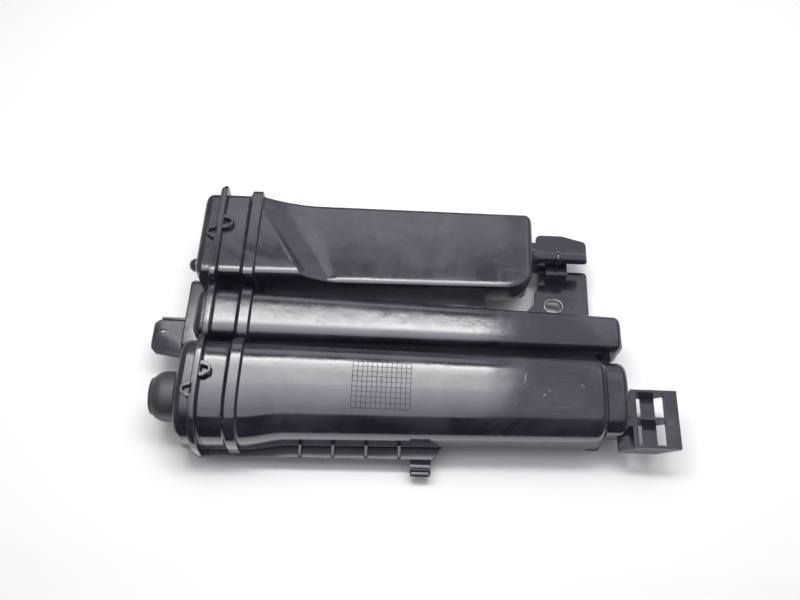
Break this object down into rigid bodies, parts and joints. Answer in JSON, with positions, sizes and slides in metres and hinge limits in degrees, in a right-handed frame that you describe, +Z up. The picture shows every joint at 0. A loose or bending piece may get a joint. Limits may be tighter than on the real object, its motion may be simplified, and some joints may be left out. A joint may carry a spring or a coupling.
{
  "type": "charcoal canister",
  "caption": "Flat charcoal canister for petrol vapour: side-by-side moulded chambers, welded end lid, domed vent cap, purge spigot and mounting brackets.",
  "frame": {"origin": "bottom centre of the canister's box, on the plane its feet rest on", "axes": "+X along the chambers from the lid toward the purge spigot, +Y from the front chamber toward the back chamber, +Z up"},
  "size_m": [0.366, 0.1992, 0.061],
  "materials": {
    "housing_plastic": "semi-gloss moulded black polypropylene with handling scuffs",
    "sleeve_steel": "zinc-plated steel",
    "lid_plastic": "semi-gloss moulded black polypropylene",
    "cap_plastic": "dull moulded black polypropylene",
    "foam": "open-cell foam",
    "charcoal": "dull black charcoal grains",
    "fleece": "needled white fleece",
    "plate_plastic": "moulded black plastic",
    "spring_steel": "drawn spring wire"
  },
  "bodies": {
    "root": {"housing": "housing_plastic", "slot_sleeve": "sleeve_steel", "end_lid": "lid_plastic", "vent_cap": "cap_plastic", "foam_pad_front": "foam", "foam_pad_middle": "foam", "foam_pad_back": "foam", "carbon_bed_front": "charcoal", "carbon_bed_middle": "charcoal", "carbon_bed_back": "charcoal", "fleece_pad_front": "fleece", "fleece_pad_middle": "fleece", "fleece_pad_back": "fleece", "pressure_plate_front": "plate_plastic", "pressure_plate_middle": "plate_plastic", "pressure_plate_back": "plate_plastic", "spring_front_near": "spring_steel", "spring_front_far": "spring_steel", "spring_middle": "spring_steel", "spring_back_near": "spring_steel", "spring_back_far": "spring_steel"}
  },
  "joints": []
}
